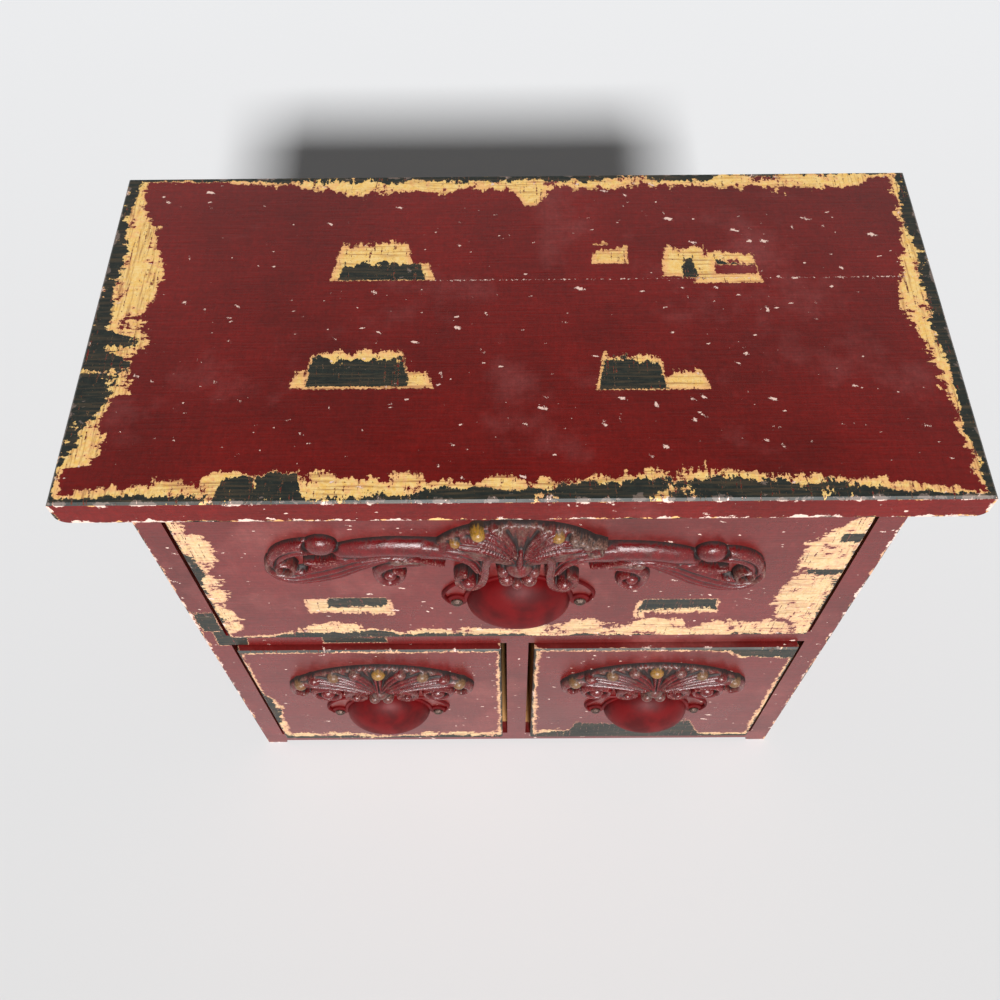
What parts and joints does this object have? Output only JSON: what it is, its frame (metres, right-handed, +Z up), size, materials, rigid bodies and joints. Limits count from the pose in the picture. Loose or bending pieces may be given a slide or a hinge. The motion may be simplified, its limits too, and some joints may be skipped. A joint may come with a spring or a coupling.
{
  "type": "tabletop drawer chest",
  "caption": "Small distressed red desktop chest with a wide drawer over a pair of small drawers, carved crests above cup pulls and an overhanging plank top.",
  "frame": {"origin": "on the surface that the chest stands on, under the middle of its width and of its overall depth with the cups", "axes": "+Z up, +X to the right of someone who faces the drawers, drawers open towards -Y"},
  "size_m": [0.3, 0.1496, 0.2783],
  "materials": {
    "painted_top": "crimson over cream and dark green paint, worn through at the edges",
    "painted_case": "satin crimson paint, worn at the edges",
    "painted_front": "satin crimson paint over cream and dark green, worn at the edges",
    "painted_carving": "crimson paint with umber glaze in the hollows",
    "painted_pull": "glossy crimson paint",
    "aged_screw": "dark, painted over",
    "bare_softwood": "planed, bare",
    "bare_plywood": "sanded, bare"
  },
  "bodies": {
    "case": {"case_side_left": "painted_case", "case_side_right": "painted_case", "shelf": "painted_case", "case_bottom": "painted_case", "divider": "painted_case", "back_panel": "bare_plywood", "top_front_plank": "painted_top", "top_rear_plank": "painted_top"},
    "wide_drawer": {"wide_drawer_front": "painted_front", "wide_drawer_side_left": "bare_softwood", "wide_drawer_side_right": "bare_softwood", "wide_drawer_bottom": "bare_plywood", "wide_drawer_back": "bare_softwood", "wide_drawer_pull": "painted_pull", "wide_drawer_pull_screws": "aged_screw", "wide_drawer_swag": "painted_carving"},
    "left_drawer": {"left_drawer_front": "painted_front", "left_drawer_side_left": "bare_softwood", "left_drawer_side_right": "bare_softwood", "left_drawer_bottom": "bare_plywood", "left_drawer_back": "bare_softwood", "left_drawer_pull": "painted_pull", "left_drawer_pull_screws": "aged_screw", "left_drawer_crest": "painted_carving"},
    "right_drawer": {"right_drawer_front": "painted_front", "right_drawer_side_left": "bare_softwood", "right_drawer_side_right": "bare_softwood", "right_drawer_bottom": "bare_plywood", "right_drawer_back": "bare_softwood", "right_drawer_pull": "painted_pull", "right_drawer_pull_screws": "aged_screw", "right_drawer_crest": "painted_carving"}
  },
  "joints": [
    {"name": "wide_drawer_slide", "type": "slide", "parent": "case", "child": "wide_drawer", "axis": [0, -1, 0], "range_m": [0, 0.085]},
    {"name": "left_drawer_slide", "type": "slide", "parent": "case", "child": "left_drawer", "axis": [0, -1, 0], "range_m": [0, 0.085]},
    {"name": "right_drawer_slide", "type": "slide", "parent": "case", "child": "right_drawer", "axis": [0, -1, 0], "range_m": [0, 0.085]}
  ]
}
